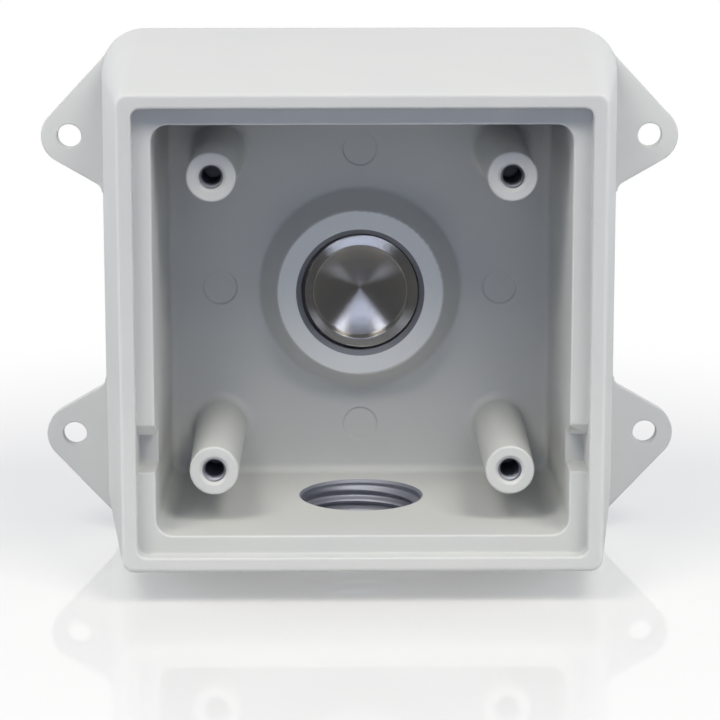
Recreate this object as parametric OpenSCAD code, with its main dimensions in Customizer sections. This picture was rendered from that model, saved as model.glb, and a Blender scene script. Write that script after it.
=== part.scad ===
// Camera junction box: a die-cast housing with wall ears, four screw posts,
// a threaded cable entry below and a second one in the back, shut by a turned plug.
// Frame: origin at the centre of the wall face, +Z up, the open front faces -Y.
// Every solid is drawn lying on its back, depth along z, and stood up by upright().

/* [Body] */
// Width and height of the open front
front_w = 80; // [76:1:100]
// Depth from the wall face to the front rim
depth = 50; // [46:1:70]
// How far each side flares out from the front to the back
flare = 6; // [4:0.5:9]
// Outside corner radius at the front rim
front_corner_r = 2; // [1.5:0.25:4]
// Rounding along the outer edge of the front rim
rim_edge_r = 0.8; // [0.4:0.1:1.2]
// Rounding along the inner edge of the rim and of the ledge
inner_edge_r = 0.3; // [0.1:0.05:0.5]
// Thickness of the rim round the opening
rim_w = 2.5; // [2:0.25:3]
// Thickness of the back wall
back_t = 4; // [3:0.5:5]

/* [Ledge and cavity] */
// Depth of the ledge below the front rim
ledge_depth = 3.2; // [2:0.2:5]
// Width of the ledge
ledge_w = 3; // [2:0.25:4]
// Corner radius of the recess above the ledge
recess_corner_r = 1.6; // [1:0.2:3]
// Corner radius of the cavity at the ledge
cavity_corner_r = 2.8; // [2.6:0.1:5]
// How much the cavity narrows on each side from the ledge to the back wall
cavity_draft = 0.5; // [0.2:0.1:0.8]
// Fillet between the cavity walls and the back wall
floor_fillet_r = 1.5; // [0.5:0.25:2]
// Diameter of the ejector pins' marks on the back wall
pin_d = 6; // [4:0.5:8]
// Depth of the ejector pins' marks
pin_sunk = 0.15; // [0.05:0.05:0.3]

/* [Ledge notches] */
// Height of the notches' middle above the centre of the box
notch_z = -20.6; // [-22:0.2:16]
// Clear height of each notch
notch_h = 6; // [4:0.5:10]
// Depth of each notch below the ledge
notch_depth = 8; // [4:0.5:14]
// Chamfer on the upper edge of each notch
notch_chamfer = 2; // [0.5:0.25:3]

/* [Screw posts] */
// Distance between the posts, both ways
post_pitch = 50; // [46:1:52]
// Height of the post faces above the wall face
post_top = 40; // [30:1:44]
// Diameter of a post at its face
post_d = 8.3; // [7:0.1:9]
// How much a post's radius grows towards its foot
post_draft = 0.4; // [0.1:0.1:0.8]
// Fillet round the foot of a post
post_fillet_r = 1.5; // [0.5:0.25:2]
// Rounding round the face of a post
post_edge_r = 0.3; // [0.1:0.05:0.5]
// Outside diameter of the M4 screw thread in a post
tap_d = 4; // [2.5:0.25:5]
// Chamfer at the mouth of the screw thread
tap_chamfer = 0.5; // [0.2:0.1:0.8]
// Depth of the screw thread
tap_depth = 14; // [8:1:25]

/* [Cable entries] */
// Outside diameter of the G 1/2 pipe thread
entry_d = 20.955; // [16:0.005:24]
// Chamfer at the bottom entry's mouth inside the box
entry_chamfer = 0.3; // [0.1:0.1:1.5]
// Distance from the wall face to the middle of the bottom entry
entry_back = 20.3; // [19:0.1:28]
// Width of the flat seat cut round the bottom entry
entry_seat_w = 3; // [2:0.25:4.5]
// Metal left beside the thread in the block cast round the bottom entry
entry_block_wall = 5; // [4:0.5:6.5]
// Width of the rear boss's face, from the thread to the edge
boss_wall = 4.3; // [3.5:0.1:5.5]
// How far the rear boss widens towards its foot
boss_spread = 3.2; // [2:0.1:4]
// Height of the rear boss above the back wall
boss_h = 5.7; // [4:0.1:9]
// Fillet round the foot of the rear boss
boss_fillet_r = 0.8; // [0.4:0.1:1.5]
// Rounding round the face of the rear boss
boss_edge_r = 0.5; // [0.1:0.1:0.9]
// Chamfer at the rear entry's mouth in the boss face
boss_chamfer = 0.9; // [0.5:0.1:2.5]

/* [Plug and washer] */
// How far the plug's head reaches past its thread
head_lip = 2; // [1.25:0.25:3]
// Thickness of the plug's head
head_t = 2.2; // [2:0.1:3]
// Space between the head and its counterbore
head_clearance = 0.5; // [0.3:0.1:1]
// How far the head lies below the wall face
head_sunk = 0.3; // [0.1:0.1:0.6]
// Thickness of the sealing washer
washer_t = 1.2; // [0.8:0.1:1.5]
// Space between the plug's thread and the entry
thread_clearance = 0.1; // [0.05:0.05:0.3]
// How far the plug's end lies below the boss face
plug_sunk = 0.6; // [0.2:0.1:1.5]
// Bevel on the plug's end
plug_bevel = 0.25; // [0.1:0.05:0.6]
// Width of the ring round the cup in the plug's end
ring_w = 2.1; // [1.5:0.1:4]
// Depth of the cup
cup_depth = 4.9; // [3:0.1:5.5]
// Rounding between the cup's wall and its bottom
cup_fillet_r = 2.2; // [1:0.1:2.8]
// Width of the coin slot in the head
slot_w = 2; // [1.5:0.25:3]
// Metal left beyond each end of the coin slot
slot_end_w = 3.5; // [1.5:0.5:5.5]
// Depth of the coin slot
slot_depth = 1.4; // [1:0.1:1.8]

/* [Wall ears] */
// Distance between the ear holes from side to side
ear_pitch_x = 103.3; // [100:0.1:125]
// Distance between the ear holes from top to bottom
ear_pitch_z = 54.2; // [50:0.1:60]
// Diameter of the ear holes
ear_hole_d = 4.3; // [3.5:0.1:5.5]
// Radius of the ears' round ends
ear_r = 5; // [4.5:0.1:6]
// Thickness of the ears
ear_t = 2.5; // [2:0.1:4]
// Slope of an ear's long edge, towards the box's corner
ear_long_slope = 47; // [42:0.5:50]
// Slope of an ear's short edge, towards the box's side
ear_short_slope = 30; // [20:0.5:40]
// Fillet where the short edge meets the box
ear_fillet_r = 1.8; // [1:0.1:3]

/* [Core pockets] */
// Thickness of the outer skin round the pockets
skin_t = 3; // [2:0.25:3.5]
// Thickness of the cavity's own wall
inner_wall_t = 3; // [2:0.25:3.5]
// Depth of the pockets from the wall face
pocket_depth = 26; // [12:1:30]
// Thickness of the ribs across the pockets
rib_t = 2.4; // [1.5:0.1:4]

/* [Hidden] */
$fn = 96;
over = 1;

front_half = front_w / 2;
back_half = front_half + flare;
corner_c = front_half - front_corner_r;
draft_angle = atan(flare / depth);
recess_half = front_half - rim_w;
ledge_level = depth - ledge_depth;
cavity_half = recess_half - ledge_w;
cavity_c = cavity_half - cavity_corner_r;
cavity_floor_r = cavity_corner_r - cavity_draft;
inner_wall_half = cavity_half + inner_wall_t - cavity_draft;
post_foot_r = post_d / 2 + post_draft;
post_draft_angle = atan(post_draft / (post_top - back_t));
entry_r = entry_d / 2;
entry_seat_r = entry_r + entry_seat_w;
seat_level = outer_half(entry_back + entry_seat_r);
boss_face = back_t + boss_h;
boss_face_r = entry_r + boss_wall;
boss_slope_angle = atan(boss_spread / boss_h);
head_r = entry_r + head_lip;
counterbore_depth = head_sunk + head_t + washer_t;
plug_r = entry_r - thread_clearance;
plug_end = boss_face - plug_sunk;
cup_r = plug_r - ring_w;

// Half width of the outside at a given height above the wall face
function outer_half(z) = back_half - flare * z / depth;

// Centre of a circle of radius r that touches a level line through corner p and a side
// that leans by the angle a; side = 1 lies outside the corner and -1 inside it
function touch(p, r, a, side) = p + side * [r * (1 - sin(a)) / cos(a), r];

// Unit vector square to a side that leans by the angle a
function square_to(a) = [cos(a), sin(a)];

// Stands a solid that lies on its back up against the wall
module upright() {
    rotate([90, 0, 0]) children();
}

// Carries a profile round a square with round corners whose centres lie c from the axis
module swept(c) {
    for (k = [0:3]) rotate(90 * k) {
        translate([c, c, 0]) rotate_extrude(angle = 90) children();
        translate([c, 0, 0]) rotate([90, 0, 0]) linear_extrude(2 * c, center = true) children();
    }
}

// Square prism with round corners, from z0 to z1
module round_prism(half, r, z0, z1) {
    translate([0, 0, z0]) linear_extrude(z1 - z0) union() {
        square([2 * half, 2 * (half - r)], center = true);
        square([2 * (half - r), 2 * half], center = true);
        for (x = [-1, 1], y = [-1, 1]) translate([x, y] * (half - r)) circle(r);
    }
}

// Quarter of a circle of radius r that rounds the corner p between a level line and a side
// that leans by the angle a
module rounded_corner(p, r, a) {
    c = touch(p, r, a, -1);
    intersection() {
        translate(c) circle(r);
        polygon([c, c + r * square_to(a), p, [c[0], p[1]]]);
    }
}

// Turned profile that rises from the back wall at radius foot to radius face, with a fillet
// round its foot and a rounding round its face
module footed_profile(foot, face, top, fillet, edge, a) {
    c = touch([foot, back_t], fillet, a, 1);
    e = touch([face, top], edge, a, -1);
    union() {
        difference() {
            polygon([[0, back_t - over], [c[0], back_t - over], [c[0], back_t], c,
                c - fillet * square_to(a), e + edge * square_to(a), e, [e[0], top], [0, top]]);
            translate(c) circle(fillet);
        }
        rounded_corner([face, top], edge, a);
    }
}

// Flared block with the rounded front edge
module outer_block() {
    p = [front_corner_r, depth];
    c = touch(p, rim_edge_r, draft_angle, -1);
    swept(corner_c) union() {
        polygon([[0, 0], [front_corner_r + flare, 0], c + rim_edge_r * square_to(draft_angle), c,
            [c[0], depth], [0, depth]]);
        rounded_corner(p, rim_edge_r, draft_angle);
    }
    translate([-corner_c, -corner_c, 0]) cube([2 * corner_c, 2 * corner_c, depth]);
}

// Recess above the ledge, with the rim's inner edge rounded
module recess() {
    c = [recess_corner_r + inner_edge_r, depth - inner_edge_r];
    recess_c = recess_half - recess_corner_r;
    swept(recess_c) difference() {
        polygon([[0, ledge_level], [recess_corner_r, ledge_level], [recess_corner_r, c[1]], c,
            [c[0], depth + over], [0, depth + over]]);
        translate(c) circle(inner_edge_r);
    }
    translate([-recess_c, -recess_c, ledge_level])
        cube([2 * recess_c, 2 * recess_c, ledge_depth + over]);
}

// Space inside the box, from the back wall up to the ledge, with the ledge's edge rounded
module cavity() {
    c = [cavity_floor_r - floor_fillet_r, back_t + floor_fillet_r];
    wall_angle = atan(cavity_draft / (ledge_level - c[1]));
    e = touch([cavity_corner_r, ledge_level], inner_edge_r, wall_angle, -1);
    lip = [2 * cavity_corner_r - e[0], e[1]];
    swept(cavity_c) union() {
        difference() {
            polygon([[0, back_t], [c[0], back_t], c, [cavity_floor_r, c[1]],
                lip - inner_edge_r * square_to(-wall_angle), lip, [lip[0], ledge_level + over],
                [0, ledge_level + over]]);
            translate(lip) circle(inner_edge_r);
        }
        intersection() {
            translate(c) circle(floor_fillet_r);
            translate([c[0], back_t]) square(floor_fillet_r);
        }
    }
    translate([-cavity_c, -cavity_c, back_t])
        cube([2 * cavity_c, 2 * cavity_c, ledge_level + over - back_t]);
}

// Marks that the four ejector pins left on the back wall, each midway between two posts
module pin_marks() {
    for (k = [0:3]) rotate(90 * k)
        translate([post_pitch / 2, 0, back_t - pin_sunk]) cylinder(d = pin_d, h = pin_sunk + over);
}

// Notch through the ledge on one side, with its upper edge chamfered
module notch() {
    low = notch_z - notch_h / 2;
    high = notch_z + notch_h / 2;
    translate([cavity_half - over, 0, 0]) rotate([0, 90, 0]) rotate(90)
        linear_extrude(ledge_w + over) polygon([
            [low, ledge_level - notch_depth], [high, ledge_level - notch_depth],
            [high, ledge_level - notch_chamfer], [high + notch_chamfer, ledge_level],
            [high + notch_chamfer, ledge_level + over], [low, ledge_level + over]]);
}

// One screw post, standing on the back wall
module post() {
    rotate_extrude() footed_profile(post_foot_r, post_d / 2, post_top, post_fillet_r, post_edge_r,
        post_draft_angle);
}

// Thread bore of a screw post, with its mouth chamfer
module post_bore() {
    tap_r = tap_d / 2;
    translate([0, 0, post_top - tap_depth]) cylinder(r = tap_r, h = tap_depth + over);
    translate([0, 0, post_top - tap_chamfer])
        cylinder(r1 = tap_r, r2 = tap_r + tap_chamfer + over, h = tap_chamfer + over);
}

// Raised boss round the rear entry
module rear_boss() {
    rotate_extrude() footed_profile(boss_face_r + boss_spread, boss_face_r, boss_face, boss_fillet_r,
        boss_edge_r, boss_slope_angle);
}

// Rear entry: thread bore, mouth chamfer and the counterbore for the plug's head
module rear_entry() {
    translate([0, 0, -over]) cylinder(r = entry_r, h = boss_face + 2 * over);
    translate([0, 0, boss_face - boss_chamfer])
        cylinder(r1 = entry_r, r2 = entry_r + boss_chamfer + over, h = boss_chamfer + over);
    translate([0, 0, -over]) cylinder(r = head_r + head_clearance, h = counterbore_depth + over);
}

// Bottom entry: thread bore, mouth chamfer inside and the flat seat outside
module bottom_entry() {
    wall_in = cavity_half - cavity_draft / 2;
    translate([0, 0, entry_back]) rotate([90, 0, 0]) {
        translate([0, 0, wall_in - 2 * over]) cylinder(r = entry_r, h = back_half - wall_in + 3 * over);
        translate([0, 0, wall_in - over])
            cylinder(r1 = entry_r + entry_chamfer + over, r2 = entry_r, h = entry_chamfer + over);
        translate([0, 0, seat_level]) cylinder(r = entry_seat_r, h = flare + over);
    }
}

// Outline of the ear at the top right
module ear_outline() {
    c = [ear_pitch_x, ear_pitch_z] / 2;
    long_point = c + ear_r * [sin(ear_long_slope), cos(ear_long_slope)];
    short_point = c + ear_r * [sin(ear_short_slope), -cos(ear_short_slope)];
    corner = [corner_c, corner_c];
    long_run = (corner - long_point) * [-cos(ear_long_slope), sin(ear_long_slope)];
    long_end = long_point + long_run * [-cos(ear_long_slope), sin(ear_long_slope)];
    short_run = (short_point[0] - back_half) / cos(ear_short_slope);
    root = short_point - short_run * [cos(ear_short_slope), sin(ear_short_slope)];
    fillet_reach = ear_fillet_r * tan(45 - ear_short_slope / 2);
    fillet_c = root + [ear_fillet_r, -fillet_reach];
    fillet_end = root + fillet_reach * [cos(ear_short_slope), sin(ear_short_slope)];
    circle_end = fillet_c + ear_fillet_r * [-sin(ear_short_slope), cos(ear_short_slope)];
    translate(c) circle(ear_r);
    polygon([c, long_point, long_end, corner, [corner_c, root[1]], root, short_point]);
    difference() {
        polygon([root - [skin_t, 0], root - [skin_t, fillet_reach], root - [0, fillet_reach],
            fillet_c, circle_end, fillet_end]);
        translate(fillet_c) circle(ear_fillet_r);
    }
}

// The four ears, flush with the wall face
module ears() {
    for (x = [0, 1], y = [0, 1]) mirror([x, 0, 0]) mirror([0, y, 0])
        linear_extrude(ear_t) ear_outline();
}

// Screw holes through the ears
module ear_holes() {
    for (x = [-1, 1], y = [-1, 1])
        translate([x * ear_pitch_x / 2, y * ear_pitch_z / 2, -over])
            cylinder(d = ear_hole_d, h = ear_t + 2 * over);
}

// Pockets cast into the back between the skin and the cavity's wall, left open to the wall
module core_pockets() {
    skin_r = front_corner_r + flare - skin_t;
    deep_r = skin_r - flare * pocket_depth / depth;
    difference() {
        union() {
            swept(corner_c) polygon([[0, -over], [skin_r, -over], [skin_r, 0],
                [deep_r, pocket_depth], [0, pocket_depth]]);
            translate([-corner_c, -corner_c, -over])
                cube([2 * corner_c, 2 * corner_c, pocket_depth + over]);
        }
        round_prism(inner_wall_half, cavity_corner_r + inner_wall_t, -2 * over, pocket_depth + over);
        for (k = [0:3], at = [-1, 0, 1]) rotate(90 * k)
            translate([inner_wall_half - over, at * post_pitch / 2 - rib_t / 2, -2 * over])
                cube([back_half - inner_wall_half, rib_t, pocket_depth + 3 * over]);
        translate([-entry_r - entry_block_wall, -back_half, -2 * over])
            cube([entry_d + 2 * entry_block_wall, back_half - inner_wall_half + over,
                pocket_depth + 3 * over]);
    }
}

module housing() {
    color("gainsboro") upright() difference() {
        union() {
            difference() {
                union() {
                    outer_block();
                    ears();
                }
                recess();
                cavity();
                pin_marks();
                for (side = [0, 1]) mirror([side, 0, 0]) notch();
                core_pockets();
            }
            for (x = [-1, 1], y = [-1, 1]) translate([x, y] * post_pitch / 2) post();
            rear_boss();
        }
        for (x = [-1, 1], y = [-1, 1]) translate([x, y] * post_pitch / 2) post_bore();
        rear_entry();
        bottom_entry();
        ear_holes();
    }
}

// Turned plug, screwed in from the wall side, with a cup in its inner end
module rear_plug() {
    head_top = head_sunk + head_t;
    cup_floor = plug_end - cup_depth;
    color("silver") upright() difference() {
        rotate_extrude() difference() {
            polygon([[0, head_sunk], [head_r - plug_bevel, head_sunk],
                [head_r, head_sunk + plug_bevel], [head_r, head_top],
                [plug_r, head_top], [plug_r, plug_end - plug_bevel],
                [plug_r - plug_bevel, plug_end], [0, plug_end]]);
            translate([0, cup_floor + cup_fillet_r])
                square([cup_r, cup_depth - cup_fillet_r + over]);
            translate([0, cup_floor]) square([cup_r - cup_fillet_r, cup_depth]);
            translate([cup_r, cup_floor] + cup_fillet_r * [-1, 1]) circle(cup_fillet_r);
        }
        translate([slot_end_w - head_r, -slot_w / 2, head_sunk - over])
            cube([2 * (head_r - slot_end_w), slot_w, slot_depth + over]);
    }
}

// Flat rubber washer, squeezed between the plug's head and the counterbore
module plug_washer() {
    color("dimgray") upright() translate([0, 0, head_sunk + head_t]) difference() {
        cylinder(r = head_r, h = washer_t);
        translate([0, 0, -over]) cylinder(r = entry_r, h = washer_t + 2 * over);
    }
}

housing();
rear_plug();
plug_washer();
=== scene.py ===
import bpy
import numpy as np
from mathutils import Matrix, Vector


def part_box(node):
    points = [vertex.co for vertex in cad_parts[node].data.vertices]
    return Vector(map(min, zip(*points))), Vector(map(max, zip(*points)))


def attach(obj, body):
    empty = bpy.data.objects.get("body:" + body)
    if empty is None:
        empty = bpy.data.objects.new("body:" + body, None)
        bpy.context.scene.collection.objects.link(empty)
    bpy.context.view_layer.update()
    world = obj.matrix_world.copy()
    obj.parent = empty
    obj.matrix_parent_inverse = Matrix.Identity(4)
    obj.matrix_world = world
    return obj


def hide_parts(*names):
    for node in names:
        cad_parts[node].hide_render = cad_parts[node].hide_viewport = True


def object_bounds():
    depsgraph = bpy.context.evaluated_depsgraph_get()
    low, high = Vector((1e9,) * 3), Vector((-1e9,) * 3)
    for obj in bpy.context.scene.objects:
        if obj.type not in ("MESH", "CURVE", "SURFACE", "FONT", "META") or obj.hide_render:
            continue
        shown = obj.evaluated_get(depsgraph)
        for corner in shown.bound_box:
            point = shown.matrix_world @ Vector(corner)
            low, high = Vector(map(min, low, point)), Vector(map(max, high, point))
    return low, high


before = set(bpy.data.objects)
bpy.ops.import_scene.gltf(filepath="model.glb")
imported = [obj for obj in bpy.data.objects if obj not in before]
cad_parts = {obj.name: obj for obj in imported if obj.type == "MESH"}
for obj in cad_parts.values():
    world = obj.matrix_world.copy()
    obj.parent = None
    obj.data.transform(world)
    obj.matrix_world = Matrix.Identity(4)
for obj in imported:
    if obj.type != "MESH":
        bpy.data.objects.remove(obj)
cad_low, cad_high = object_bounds()
MM = 0.001


# Camera: a long lens a little above the box, looking slightly down into the open front.
# Its focal length, place and tilt were fitted to some 70 edges and centres of the photograph.
FOCAL_MM = 148.16
PITCH, YAW, ROLL = np.radians([11.586, 0.533, -0.045])
DISTANCE, SHIFT_RIGHT, SHIFT_UP = 485.77 * MM, -0.431 * MM, -3.803 * MM
FRONT_CENTRE = Vector((0, cad_low.y, 0))

forward = Vector((np.sin(YAW) * np.cos(PITCH), np.cos(YAW) * np.cos(PITCH), -np.sin(PITCH)))
level_right = Vector((np.cos(YAW), -np.sin(YAW), 0))
level_up = level_right.cross(forward)
right = level_right * np.cos(ROLL) + level_up * np.sin(ROLL)
up = level_up * np.cos(ROLL) - level_right * np.sin(ROLL)
camera = bpy.data.objects.new("camera", bpy.data.cameras.new("camera"))
camera.data.lens = FOCAL_MM
camera.data.sensor_width = 36
place = FRONT_CENTRE - forward * DISTANCE + level_right * SHIFT_RIGHT + level_up * SHIFT_UP
camera.matrix_world = Matrix.Translation(place) @ Matrix((right, up, -forward)).transposed().to_4x4()
bpy.context.scene.collection.objects.link(camera)
bpy.context.scene.camera = camera


# Housing: one aluminium die casting with a satin powder coat baked on. The cable entries and
# the screw holes were cut after coating, so they are bare metal. It is the CAD solid itself.
COAT = "#D0D1CF"
COAT_CLOUD = "#C8CACA"
COAT_IOR = 1.5
COAT_ROUGHNESS = 0.42
PEEL_MM, PEEL_HIGH_MM = 1.3, 0.012
GRAIN_MM, GRAIN_HIGH_MM = 0.4, 0.006
CLOUD_MM = 14
FILM_MM = 0.45
# Painted light: a lighter coat colour for the boss's face.
BOSS_COAT_PAINTED_LIGHTER = "#E3E6E8"
BARE = "#A2A5B2"
TOOL_MARK_MM, TOOL_MARK_HIGH_MM = 0.25, 0.01
COATED, CUT, PAINTED_LIGHTER = 0, 1, 2
ENTRY_BACK_MM, ENTRY_MASK_MM, BOTTOM_WALL_MM = 20.3, 11, 34
REAR_MASK_MM = 11.5
BOSS_FACE_MM, BOSS_FACE_R_MM = 9.7, 14.6
COUNTERBORE_MM, COUNTERBORE_R_MM = 3.8, 13
POST_MM, SCREW_MASK_MM, SCREW_FRONT_MM = 25, 2.3, 20


def linear(code):
    """sRGB hex colour as linear RGBA: c / 12.92 up to 0.04045, ((c + 0.055) / 1.055) ^ 2.4 above."""
    c = np.array([int(code[i:i + 2], 16) for i in (1, 3, 5)]) / 255
    rgb = np.where(c <= 0.04045, c / 12.92, ((c + 0.055) / 1.055) ** 2.4)
    return (*rgb, 1.0)


def add(tree, kind, settings=None, **inputs):
    """Adds a node of that kind. settings are its properties. inputs are values or output sockets,
    named by socket with _ for a space, or _0, _1 by number."""
    node = tree.nodes.new(kind)
    for key, value in (settings or {}).items():
        setattr(node, key, value)
    for key, value in inputs.items():
        socket = node.inputs[int(key[1:])] if key[1:].isdigit() else node.inputs[key.replace("_", " ")]
        if isinstance(value, bpy.types.NodeSocket):
            tree.links.new(value, socket)
        else:
            socket.default_value = value
    return node


def new_material(name, **values):
    """Principled material with plain socket values; returns the material, its tree and the shader."""
    material = bpy.data.materials.new(name)
    material.use_nodes = True
    shader = material.node_tree.nodes["Principled BSDF"]
    for key, value in values.items():
        shader.inputs[key.replace("_", " ")].default_value = value
    return material, material.node_tree, shader


# Baked polyester powder: an opaque satin film with a soft highlight, a faint orange peel where
# it flowed, a fine powder grain, and slow changes of thickness that the eye reads as cast metal.
coat, tree, shader = new_material("satin_powder_coat_on_die_casting", IOR=COAT_IOR,
                                  Roughness=COAT_ROUGHNESS)
on_piece = add(tree, "ShaderNodeTexCoord").outputs["Object"]
clouds = add(tree, "ShaderNodeTexNoise", Vector=on_piece, Scale=1 / (CLOUD_MM * MM), Detail=4.0)
tone = add(tree, "ShaderNodeMix", {"data_type": "RGBA"}, _0=clouds.outputs["Fac"],
           _6=linear(COAT), _7=linear(COAT_CLOUD))
peel = add(tree, "ShaderNodeTexNoise", Vector=on_piece, Scale=1 / (PEEL_MM * MM), Detail=1.0)
grain = add(tree, "ShaderNodeTexNoise", Vector=on_piece, Scale=1 / (GRAIN_MM * MM), Detail=2.0)
film = add(tree, "ShaderNodeBevel", {"samples": 6}, Radius=FILM_MM * MM)
flow = add(tree, "ShaderNodeBump", Distance=PEEL_HIGH_MM * MM, Height=peel.outputs["Fac"],
           Normal=film.outputs["Normal"])
powder = add(tree, "ShaderNodeBump", Distance=GRAIN_HIGH_MM * MM, Height=grain.outputs["Fac"],
             Normal=flow.outputs["Normal"])
tree.links.new(tone.outputs[2], shader.inputs["Base Color"])
tree.links.new(powder.outputs["Normal"], shader.inputs["Normal"])

# The same film on the boss's face, with a lower roughness and a lighter colour: the lighter colour is
# painted light, which makes that face brighter than the back wall beside it.
boss_coat_painted_lighter, tree, shader = new_material("powder_coat_painted_lighter_on_boss_face", Base_Color=linear(BOSS_COAT_PAINTED_LIGHTER),
                                         IOR=COAT_IOR, Roughness=0.32)
on_piece = add(tree, "ShaderNodeTexCoord").outputs["Object"]
film = add(tree, "ShaderNodeBevel", {"samples": 6}, Radius=FILM_MM * MM)
peel = add(tree, "ShaderNodeTexNoise", Vector=on_piece, Scale=1 / (PEEL_MM * MM), Detail=1.0)
flow = add(tree, "ShaderNodeBump", Distance=PEEL_HIGH_MM * MM, Height=peel.outputs["Fac"],
           Normal=film.outputs["Normal"])
tree.links.new(flow.outputs["Normal"], shader.inputs["Normal"])

# Aluminium fresh from the tap or drill: a dull blue grey, with short uneven tool marks.
bare, tree, shader = new_material("aluminium_cut_by_tap_and_drill", Base_Color=linear(BARE), Metallic=1.0,
                                  Roughness=0.6)
on_piece = add(tree, "ShaderNodeTexCoord").outputs["Object"]
marks = add(tree, "ShaderNodeTexNoise", Vector=on_piece, Scale=1 / (TOOL_MARK_MM * MM), Detail=2.0)
scored = add(tree, "ShaderNodeBump", Distance=TOOL_MARK_HIGH_MM * MM, Height=marks.outputs["Fac"])
tree.links.new(scored.outputs["Normal"], shader.inputs["Normal"])

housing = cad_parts["housing"]
housing.data.materials.clear()
for material in (coat, bare, boss_coat_painted_lighter):
    housing.data.materials.append(material)
middle = np.zeros(len(housing.data.polygons) * 3, np.float32)
housing.data.polygons.foreach_get("center", middle)
facing = np.zeros_like(middle)
housing.data.polygons.foreach_get("normal", facing)
x, y, z = middle.reshape(-1, 3).T / MM
facing = np.abs(facing.reshape(-1, 3))
# A cut face lies inside its bore's radius, and turns away from the bore's end faces.
off_entry = np.hypot(x, y + ENTRY_BACK_MM)
bottom_entry = (off_entry < ENTRY_MASK_MM) & (z < -BOTTOM_WALL_MM) & (facing[:, 2] < 0.9)
off_axis = np.hypot(x, z)
rear_entry = (off_axis < REAR_MASK_MM) & (y > -BOSS_FACE_MM + 0.01) & (facing[:, 1] < 0.9)
counterbore = (off_axis < COUNTERBORE_R_MM) & (y > -COUNTERBORE_MM)
off_post = np.hypot(np.abs(x) - POST_MM, np.abs(z) - POST_MM)
screw_hole = (off_post < SCREW_MASK_MM) & (y < -SCREW_FRONT_MM) & (facing[:, 1] < 0.6)
# The boss's face takes the lighter coat, which is painted light.
boss_face = (off_axis < BOSS_FACE_R_MM) & (np.abs(y + BOSS_FACE_MM) < 0.02) & ~rear_entry
finish = np.where(boss_face, PAINTED_LIGHTER, COATED)
finish[bottom_entry | rear_entry | counterbore | screw_hole] = CUT
housing.data.polygons.foreach_set("material_index", finish.astype(np.int32))
housing.data.update()


# Threads: ridges left standing between the tap's cuts, G 1/2 in the bottom entry and M4 in the
# four posts. They start from nothing at each end, as a tap leaves them.
PIPE_R_MM, PIPE_PITCH_MM, PIPE_HIGH_MM = 10.4775, 1.814, 1.0
PIPE_FROM_MM, PIPE_LONG_MM = 35.45, 6.0
SCREW_R_MM, SCREW_PITCH_MM, SCREW_HIGH_MM = 2.0, 0.7, 0.38
SCREW_FROM_MM, SCREW_LONG_MM = 39.1, 11.0
SECTION_HALF, SUNK = 0.48, 0.04


def skin(name, rings, material):
    """Closed mesh through m rings of n points each, an array (m, n, 3) in metres: a quad between each
    point, its neighbour and the two above them, and a fan to the mean point at either end. The signed
    volume, the sum of a . (b x c) / 6 over its triangles, turns the faces outwards."""
    m, n = rings.shape[:2]
    low = (np.arange(m - 1)[:, None] * n + np.arange(n)).ravel()
    beside = (np.arange(m - 1)[:, None] * n + (np.arange(n) + 1) % n).ravel()
    quads = np.stack([low, beside, beside + n, low + n], 1)
    edge = np.arange(n)
    turned = (edge + 1) % n
    last = (m - 1) * n
    first_fan = np.stack([turned, edge, np.full(n, m * n)], 1)
    last_fan = np.stack([last + edge, last + turned, np.full(n, m * n + 1)], 1)
    points = np.concatenate([rings.reshape(-1, 3), rings[:1].mean(1), rings[-1:].mean(1)])
    fans = np.concatenate([first_fan, last_fan])
    triangles = np.concatenate([quads[:, :3], quads[:, [0, 2, 3]], fans])
    a, b, c = points[triangles].transpose(1, 0, 2)
    inside_out = (a * np.cross(b, c)).sum() < 0
    if inside_out:
        quads, fans = quads[:, ::-1], fans[:, ::-1]
    mesh = bpy.data.meshes.new(name)
    mesh.from_pydata(points, [], quads.tolist() + fans.tolist())
    mesh.shade_smooth()
    mesh.set_sharp_from_angle(angle=np.radians(38))
    mesh.materials.append(material)
    piece = bpy.data.objects.new(name, mesh)
    bpy.context.scene.collection.objects.link(piece)
    return piece


def thread(name, foot, way, across, radius, pitch, high, length, steps):
    """Ridge wound inside a bore. At turn t its middle lies at foot + way * pitch * t, and its section
    rises by high * (0.5 + 0.5 cos(2 pi s)) above the wall for s nearly from -1/2 to 1/2 of a
    pitch. The rise fades to nothing over the first and last half turn."""
    turns = length / pitch
    t = np.linspace(0, turns, int(turns * steps))
    s = np.linspace(-SECTION_HALF, SECTION_HALF, 11)
    rise = high * (0.5 + 0.5 * np.cos(2 * np.pi * s))
    s = np.append(s, [SECTION_HALF, -SECTION_HALF])
    rise = np.append(rise, [-SUNK * high, -SUNK * high])
    fade = np.clip(np.minimum(t, turns - t) / 0.5, 0.02, 1)
    fade = fade * fade * (3 - 2 * fade)
    reach = radius - rise[None] * np.where(rise > 0, fade[:, None], 1)
    along = (t[:, None] + s[None]) * pitch
    way, across = np.array(way, float), np.array(across, float)
    turn = 2 * np.pi * t[:, None, None]
    spoke = across * np.cos(turn) + np.cross(way, across) * np.sin(turn)
    rings = np.array(foot, float) + spoke * reach[..., None] + way * along[..., None]
    piece = skin(name, rings * MM, bare)
    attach(piece, "root")


thread("bottom_entry_thread", (0, -ENTRY_BACK_MM, -PIPE_FROM_MM), (0, 0, -1), (-1, 0, 0), PIPE_R_MM,
       PIPE_PITCH_MM, PIPE_HIGH_MM, PIPE_LONG_MM, 128)
for number, (side, level) in enumerate([(-1, 1), (1, 1), (-1, -1), (1, -1)], 1):
    thread(f"post_thread_{number}", (side * POST_MM, -SCREW_FROM_MM, level * POST_MM), (0, 1, 0), (1, 0, 0),
           SCREW_R_MM, SCREW_PITCH_MM, SCREW_HIGH_MM, SCREW_LONG_MM, 48)


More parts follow.
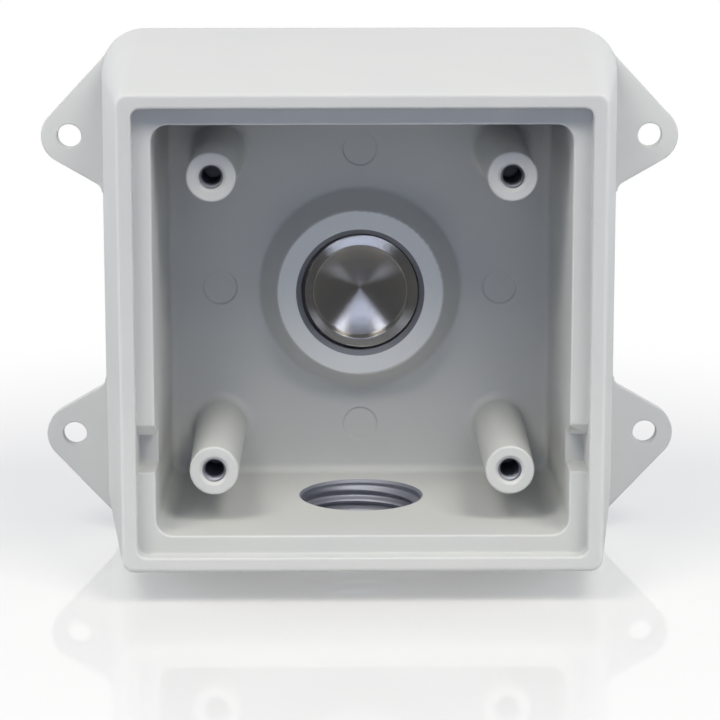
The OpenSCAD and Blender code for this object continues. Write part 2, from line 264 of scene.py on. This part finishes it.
# Rear plug: turned from aluminium bar on a lathe, with a coin slot milled across its head, and
# screwed in from the wall side. Its hollow end shows in the boss.
PLUG_R_MM, HEAD_R_MM, CUP_R_MM = 10.3775, 12.4775, 8.2775
DISH_R_MM, PLUG_BEVEL_MM, LIP_MM, RING_FALL = 28.0, 0.12, 0.1, 0.15
CUP_FLOOR_MM, HEAD_TOP_MM = 4.2, 2.5
THREAD_FROM_MM, THREAD_STARTS_MM, THREAD_ENDS_MM = 4.4, 0.6, 1.6
THREAD_FADES_AT_MM, THREAD_TURN = 0.9, 0.05
SLOT_HALF_MM, SLOT_DEEP_MM = (8.9775, 1.0), 1.4
TURNED = "#C9C6C4"
FEED_MM, FEED_HIGH_MM, SHANK_FEED = 0.3, 0.004, 1.7


def turned_rings(wall, low, steps=256):
    """Rings of the plug as (ring, step, xyz), from the middle of the cup out over the end and the threaded
    shank to the head and into the slot. The cup's floor is a sphere of radius DISH_R_MM. A thread cuts
    the shank back to the radius plug - depth * (0.5 - 0.5 cos(2 pi (d / pitch + turn))) ^ 0.8 at distance
    d from the wall. The last two rings, the slot's, follow a rectangle instead of a circle.
    wall and low are how far the head's face and the hollow end lie in front of the wall, in mm."""
    dish = np.linspace(0.05, CUP_R_MM, 28)
    ring = np.linspace(CUP_R_MM + LIP_MM, PLUG_R_MM - PLUG_BEVEL_MM, 10)
    fall = RING_FALL * (ring - ring[0])
    profile = [
        (dish, CUP_FLOOR_MM + DISH_R_MM - np.sqrt(DISH_R_MM ** 2 - dish ** 2)),
        ([CUP_R_MM, CUP_R_MM + LIP_MM / 3], [low - LIP_MM, low - LIP_MM / 3]),
        (ring, low - fall),
        (np.full(60, PLUG_R_MM), np.linspace(low - fall[-1] - PLUG_BEVEL_MM, HEAD_TOP_MM, 60)),
        ([HEAD_R_MM, HEAD_R_MM, HEAD_R_MM - PLUG_BEVEL_MM], [HEAD_TOP_MM, wall + PLUG_BEVEL_MM, wall]),
    ]
    radius = np.concatenate([np.asarray(p[0], float) for p in profile])
    deep = np.concatenate([np.asarray(p[1], float) for p in profile])
    turn = np.arange(steps) / steps
    wave = (0.5 - 0.5 * np.cos(2 * np.pi * (deep[:, None] / PIPE_PITCH_MM + turn + THREAD_TURN))) ** 0.8
    starts = np.clip((deep - THREAD_FROM_MM) / THREAD_STARTS_MM, 0, 1)
    ends = np.clip(1 - (deep - low + THREAD_FADES_AT_MM) / THREAD_ENDS_MM, 0, 1)
    cut = PLUG_R_MM - PIPE_HIGH_MM * wave * (starts * ends)[:, None]
    on_shank = (radius > CUP_R_MM + LIP_MM) & (radius <= PLUG_R_MM)
    radius = np.where(on_shank[:, None], np.minimum(radius[:, None], cut), radius[:, None])
    angle = 2 * np.pi * turn
    rounds = np.stack([radius * np.cos(angle), -np.broadcast_to(deep[:, None], radius.shape),
                       radius * np.sin(angle)], 2)
    half_l, half_w = SLOT_HALF_MM
    lean = np.arctan2(half_w, half_l)
    corner = np.array([lean, np.pi - lean, np.pi + lean, 2 * np.pi - lean])
    angle[np.rint(corner / (2 * np.pi) * steps).astype(int)] = corner
    to_side = np.minimum(half_l / np.maximum(np.abs(np.cos(angle)), 1e-9),
                         half_w / np.maximum(np.abs(np.sin(angle)), 1e-9))
    slot = [np.stack([to_side * np.cos(angle), np.full(steps, -d), to_side * np.sin(angle)], 1)
            for d in (wall, wall + SLOT_DEEP_MM)]
    return np.concatenate([rounds, slot])


# Finely turned aluminium: bright rings round the axis, so light smears across them into a fan.
turned, tree, shader = new_material("finely_turned_aluminium", Base_Color=linear(TURNED), Metallic=1.0,
                                    Roughness=0.2, Anisotropic=0.9, Anisotropic_Rotation=0.25)
# The lathe's feed is nearer 0.1 mm; 0.3 mm is the finest that shows at this size.
spot = add(tree, "ShaderNodeSeparateXYZ", Vector=add(tree, "ShaderNodeTexCoord").outputs["Object"])
flat = add(tree, "ShaderNodeCombineXYZ", X=spot.outputs["X"], Z=spot.outputs["Z"])
from_axis = add(tree, "ShaderNodeVectorMath", {"operation": "LENGTH"}, _0=flat.outputs[0])
run = add(tree, "ShaderNodeMath", {"operation": "MULTIPLY_ADD"}, _0=spot.outputs["Y"], _1=SHANK_FEED,
          _2=from_axis.outputs["Value"])
feed = add(tree, "ShaderNodeMath", {"operation": "MULTIPLY"}, _0=run.outputs[0], _1=1 / (FEED_MM * MM))
rings_noise = add(tree, "ShaderNodeTexNoise", {"noise_dimensions": "1D"}, W=feed.outputs[0], Detail=2.0)
grooves = add(tree, "ShaderNodeBump", Distance=FEED_HIGH_MM * MM, Height=rings_noise.outputs["Fac"])
round_axis = add(tree, "ShaderNodeTangent", {"direction_type": "UV_MAP", "uv_map": "turning"})
tree.links.new(grooves.outputs["Normal"], shader.inputs["Normal"])
tree.links.new(round_axis.outputs["Tangent"], shader.inputs["Tangent"])

cad_plug_low, cad_plug_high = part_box("rear_plug")
rings = turned_rings(-cad_plug_high.y / MM, -cad_plug_low.y / MM)
plug = skin("turned_plug", rings * MM, turned)
# The map "turning" runs round the axis in u, and a face that closes the turn ends at 1, not at 0.
count, steps = rings.shape[:2]
corner_of = np.zeros(len(plug.data.loops), np.int32)
plug.data.loops.foreach_get("vertex_index", corner_of)
face_from = np.zeros(len(plug.data.polygons), np.int32)
plug.data.polygons.foreach_get("loop_start", face_from)
face_size = np.diff(np.append(face_from, len(corner_of)))
turn = np.where(corner_of < count * steps, corner_of % steps, 0).astype(float)
first = np.repeat(np.maximum.reduceat(turn, face_from), face_size)
turn = np.where((first > steps - 2) & (turn < 1), steps, turn)
level = np.minimum(corner_of // steps, count)
plug.data.uv_layers.new(name="turning").data.foreach_set(
    "uv", np.stack([turn / steps, level / count], 1).astype(np.float32).ravel())
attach(plug, "root")
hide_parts("rear_plug")


# Plug washer: black rubber punched from sheet, squeezed between the plug's head and the casting.
RUBBER = "#1B1B1C"
BLOOM_MM, BLOOM_HIGH_MM = 0.5, 0.02

# Dull black, with a fine uneven skin that the press leaves.
rubber, tree, shader = new_material("punched_black_rubber", Base_Color=linear(RUBBER), Roughness=0.7)
on_piece = add(tree, "ShaderNodeTexCoord").outputs["Object"]
bloom = add(tree, "ShaderNodeTexNoise", Vector=on_piece, Scale=1 / (BLOOM_MM * MM), Detail=3.0)
skin_bump = add(tree, "ShaderNodeBump", Distance=BLOOM_HIGH_MM * MM, Height=bloom.outputs["Fac"])
tree.links.new(skin_bump.outputs["Normal"], shader.inputs["Normal"])
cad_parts["plug_washer"].data.materials.clear()
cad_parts["plug_washer"].data.materials.append(rubber)


# Floor: a white, slightly glossy table that fades into the white background. Mirrors see it
# darker than it is, as they would with black cards laid out of sight.
FLOOR_LEFT, FLOOR_FRONT, FLOOR_BACK = -0.45, -0.15, 0.90
FADE_FROM, FADE_TO, FADE_LEAST = 0.09, 0.20, 0.35
TABLE, TABLE_IN_MIRROR = "#E6E6E6", "#484848"
ground = cad_low.z
floor_mesh = bpy.data.meshes.new("floor")
floor_mesh.from_pydata([(FLOOR_LEFT, FLOOR_FRONT, ground), (-FLOOR_LEFT, FLOOR_FRONT, ground),
                        (-FLOOR_LEFT, FLOOR_BACK, ground), (FLOOR_LEFT, FLOOR_BACK, ground)],
                       [], [(0, 1, 2, 3)])
floor = bpy.data.objects.new("floor", floor_mesh)
bpy.context.scene.collection.objects.link(floor)
white, tree, shader = new_material("glossy_white_table", IOR=1.7, Roughness=0.05)
on_floor = add(tree, "ShaderNodeTexCoord").outputs["Object"]
away = add(tree, "ShaderNodeVectorMath", {"operation": "LENGTH"}, _0=on_floor)
path = add(tree, "ShaderNodeLightPath").outputs
fade = add(tree, "ShaderNodeMapRange", {"interpolation_type": "SMOOTHSTEP"}, Value=away.outputs["Value"],
           From_Min=FADE_FROM, From_Max=FADE_TO, To_Min=FADE_LEAST)
share = add(tree, "ShaderNodeMath", {"operation": "MULTIPLY"}, _0=fade.outputs[0],
            _1=path["Is Camera Ray"])
shade = add(tree, "ShaderNodeMix", {"data_type": "RGBA"}, _0=path["Is Glossy Ray"],
            _6=linear(TABLE), _7=linear(TABLE_IN_MIRROR))
tree.links.new(shade.outputs[2], shader.inputs["Base Color"])
paper = add(tree, "ShaderNodeEmission", Color=(1, 1, 1, 1), Strength=1.0)
blend = add(tree, "ShaderNodeMixShader", _0=share.outputs[0], _1=shader.outputs[0], _2=paper.outputs[0])
tree.links.new(blend.outputs[0], tree.nodes["Material Output"].inputs["Surface"])
floor_mesh.materials.append(white)


# Light: two large soft boxes high in front, one overhead and one in front, two small windows that
# the plug's cup mirrors, and one at each side for the ears and walls.
def softbox(name, place, size, power, colour):
    """Square area lamp at place, in metres, that faces the box."""
    lamp = bpy.data.lights.new(name, "AREA")
    lamp.shape = "SQUARE"
    lamp.size = size
    lamp.energy = power
    lamp.color = linear(colour)[:3]
    holder = bpy.data.objects.new(name, lamp)
    way = Vector((0, -0.02, 0)) - Vector(place)
    holder.matrix_world = Matrix.Translation(place) @ way.to_track_quat("-Z", "Y").to_matrix().to_4x4()
    bpy.context.scene.collection.objects.link(holder)


KEY_TONE, FRONT_TONE, WINDOW_TONE, SIDE_TONE = "#FFFBF0", "#D6E2FF", "#E6EEFF", "#FFFFFF"
for name, side in (("left", -1), ("right", 1)):
    softbox(f"softbox_{name}", (side * 0.34, -0.55, 0.72), 0.40, 5.0, KEY_TONE)
    softbox(f"window_{name}", (side * 0.31, -1.16, 0.37), 0.17, 0.33, WINDOW_TONE)
    softbox(f"side_{name}", (side * 0.80, -0.05, 0.20), 0.50, 3.2, SIDE_TONE)
softbox("softbox_above", (0, 0.05, 0.90), 0.60, 0.2, KEY_TONE)
softbox("softbox_front", (0, -1.16, 0.13), 0.30, 0.5, FRONT_TONE)

# The room is white to the camera, a weak cool light to rough surfaces, and nearly dark to mirrors,
# apart from the backdrop behind the box, which the table mirrors white.
AMBIENT, ROOM, AMBIENT_TONE = 0.14, 0.08, "#86ADFF"
world = bpy.data.worlds.new("white_studio")
bpy.context.scene.world = world
world.use_nodes = True
tree = world.node_tree
path = add(tree, "ShaderNodeLightPath").outputs
towards = add(tree, "ShaderNodeSeparateXYZ", Vector=add(tree, "ShaderNodeTexCoord").outputs["Generated"])
behind = add(tree, "ShaderNodeMapRange", Value=towards.outputs["Y"], From_Min=0.05, From_Max=0.35)
backdrop = add(tree, "ShaderNodeMath", {"operation": "MULTIPLY"}, _0=path["Is Glossy Ray"],
               _1=behind.outputs[0])
seen = add(tree, "ShaderNodeMath", {"operation": "MAXIMUM"}, _0=path["Is Camera Ray"],
           _1=backdrop.outputs[0])
dim = add(tree, "ShaderNodeMapRange", Value=path["Is Glossy Ray"], To_Min=AMBIENT, To_Max=ROOM)
strength = add(tree, "ShaderNodeMapRange", Value=seen.outputs[0], To_Min=dim.outputs[0], To_Max=1.0)
direct = add(tree, "ShaderNodeMath", {"operation": "MAXIMUM"}, _0=path["Is Camera Ray"],
             _1=path["Is Glossy Ray"])
around = add(tree, "ShaderNodeMix", {"data_type": "RGBA"}, _0=direct.outputs[0],
             _6=linear(AMBIENT_TONE), _7=(1, 1, 1, 1))
tree.links.new(around.outputs[2], tree.nodes["Background"].inputs["Color"])
tree.links.new(strength.outputs[0], tree.nodes["Background"].inputs["Strength"])

bpy.context.scene.view_settings.view_transform = "Standard"
